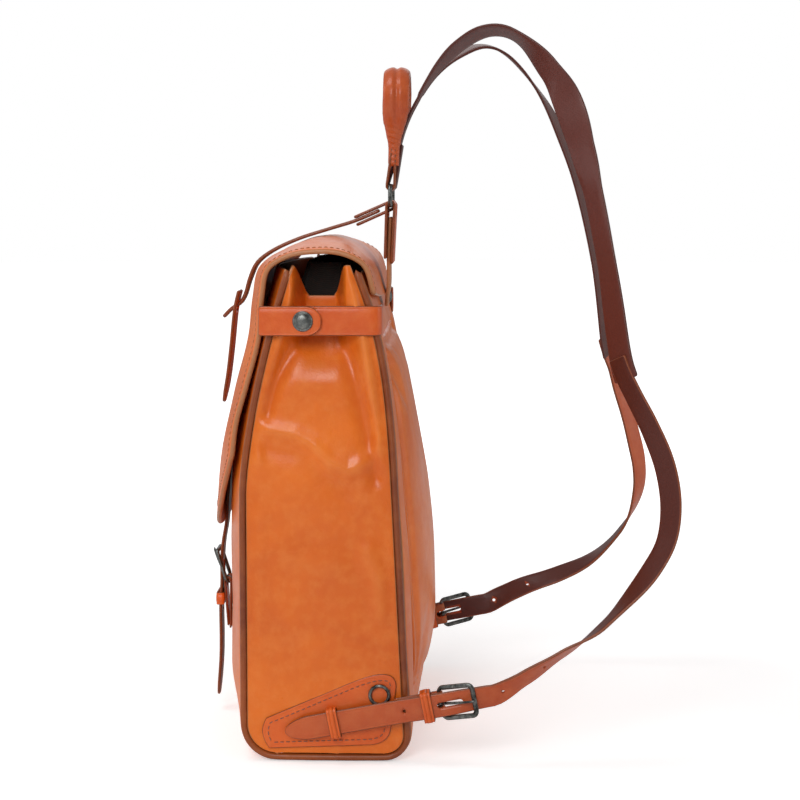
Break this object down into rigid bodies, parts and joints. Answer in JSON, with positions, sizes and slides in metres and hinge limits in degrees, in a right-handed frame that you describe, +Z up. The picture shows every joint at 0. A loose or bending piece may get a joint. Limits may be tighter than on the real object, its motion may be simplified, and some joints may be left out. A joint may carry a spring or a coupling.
{
  "type": "leather backpack",
  "caption": "Flap-top leather backpack with piped side gussets, buckled flap strap, side snap tabs, ring-hung carry handle and two buckled shoulder straps.",
  "frame": {"origin": "on the floor under the middle of the bag, on the flat underside of the bottom panel", "axes": "+Z up; -Y the flap side; +Y the wearer's back; X across the bag"},
  "size_m": [0.2944, 0.3683, 0.5506],
  "materials": {
    "body_leather": "glossy waxed cognac leather",
    "tab_leather": "glossy red-orange leather with dark painted edges",
    "strap_leather": "waxed reddish brown leather",
    "dark_strap_leather": "waxed dark brown leather",
    "edge_leather": "dark brown bound edge",
    "hanger_leather": "natural pale leather",
    "lining_fabric": "plain woven cotton",
    "pad_foam": "closed cell foam sheet",
    "base_board": "grey fibre board",
    "antique_metal": "antique gunmetal, satin"
  },
  "bodies": {
    "root": {"front_panel": "body_leather", "back_panel": "body_leather", "gusset_right": "body_leather", "gusset_left": "body_leather", "back_pad": "pad_foam", "bottom_panel": "body_leather", "bottom_board": "base_board", "piping_right": "edge_leather", "piping_left": "edge_leather", "lining": "lining_fabric", "flap_rear": "body_leather", "front_snap_stud": "antique_metal", "side_strap_right": "tab_leather", "side_strap_left": "tab_leather", "snap_stud_right": "antique_metal", "snap_stud_left": "antique_metal", "strap_patch_right": "tab_leather", "strap_patch_left": "tab_leather", "lower_ring_right": "antique_metal", "lower_ring_left": "antique_metal", "lower_chape_right": "tab_leather", "lower_chape_left": "tab_leather", "lower_buckle_frame_right": "antique_metal", "lower_buckle_frame_left": "antique_metal", "strap_keeper_right": "tab_leather", "strap_keeper_left": "tab_leather", "patch_keeper_right": "tab_leather", "patch_keeper_left": "tab_leather", "strap_tail_right": "tab_leather", "strap_tail_left": "tab_leather", "top_ring": "antique_metal", "hanger_strap": "hanger_leather", "hanger_rivet": "antique_metal", "hanger_chape": "tab_leather", "strap_root_right": "dark_strap_leather", "strap_root_left": "dark_strap_leather"},
    "flap": {"flap_front": "body_leather", "closure_strap": "strap_leather", "closure_rivet": "antique_metal", "front_buckle_frame": "antique_metal", "front_chape": "tab_leather", "front_keeper": "tab_leather", "front_snap_socket": "antique_metal"},
    "front_prong": {"front_buckle_prong": "antique_metal"},
    "lash": {"lash_chape": "tab_leather", "lash_strap": "strap_leather"},
    "tongue": {"lash_tongue": "tab_leather"},
    "handle": {"handle_grip": "body_leather", "handle_leg_right": "tab_leather", "handle_leg_left": "tab_leather"},
    "strap_right": {"shoulder_strap_upper_right": "dark_strap_leather", "shoulder_strap_lower_right": "strap_leather"},
    "strap_left": {"shoulder_strap_upper_left": "dark_strap_leather", "shoulder_strap_lower_left": "strap_leather"},
    "tab_right": {"side_tab_right": "tab_leather", "snap_cap_right": "antique_metal"},
    "tab_left": {"side_tab_left": "tab_leather", "snap_cap_left": "antique_metal"},
    "prong_right": {"lower_buckle_prong_right": "antique_metal"},
    "prong_left": {"lower_buckle_prong_left": "antique_metal"}
  },
  "joints": [
    {"name": "flap_open", "type": "hinge", "parent": "root", "child": "flap", "pos_m": [0, 0.016, 0.3835], "axis": [-1, 0, 0], "range_deg": [0, 85]},
    {"name": "front_prong_lift", "type": "hinge", "parent": "flap", "child": "front_prong", "pos_m": [0, -0.0862, 0.108], "axis": [1, 0, 0], "range_deg": [0, 20]},
    {"name": "lash_lift", "type": "hinge", "parent": "root", "child": "lash", "pos_m": [0, 0.047, 0.4133], "axis": [-1, 0, 0], "range_deg": [0, 75]},
    {"name": "tongue_swing", "type": "hinge", "parent": "lash", "child": "tongue", "pos_m": [0, -0.0784, 0.3322], "axis": [-1, 0, 0], "range_deg": [0, 5]},
    {"name": "handle_swing", "type": "hinge", "parent": "root", "child": "handle", "pos_m": [0, 0.047, 0.4287], "axis": [-1, 0, 0], "range_deg": [-70, 5]},
    {"name": "strap_right_swing", "type": "hinge", "parent": "root", "child": "strap_right", "pos_m": [0.012, 0.0662, 0.492], "axis": [-0.2773, -0.1149, 0.9539], "range_deg": [-40, 6]},
    {"name": "strap_left_swing", "type": "hinge", "parent": "root", "child": "strap_left", "pos_m": [-0.012, 0.0662, 0.492], "axis": [-0.2773, 0.1149, -0.9539], "range_deg": [-40, 6]},
    {"name": "side_tab_right_open", "type": "hinge", "parent": "root", "child": "tab_right", "pos_m": [0.1338, -0.0463, 0.33], "axis": [0, 0, -1], "range_deg": [0, 140]},
    {"name": "side_tab_left_open", "type": "hinge", "parent": "root", "child": "tab_left", "pos_m": [-0.1338, -0.0463, 0.33], "axis": [0, 0, 1], "range_deg": [0, 140]},
    {"name": "prong_right_lift", "type": "hinge", "parent": "root", "child": "prong_right", "pos_m": [0.1346, 0.088, 0.047], "axis": [0, 0.1977, -0.9803], "range_deg": [0, 20]},
    {"name": "prong_left_lift", "type": "hinge", "parent": "root", "child": "prong_left", "pos_m": [-0.1346, 0.088, 0.047], "axis": [0, -0.1977, 0.9803], "range_deg": [0, 20]}
  ],
  "couplings": [
    {"joint": "lash_lift", "follows": "flap_open", "ratio": 0.85}
  ]
}
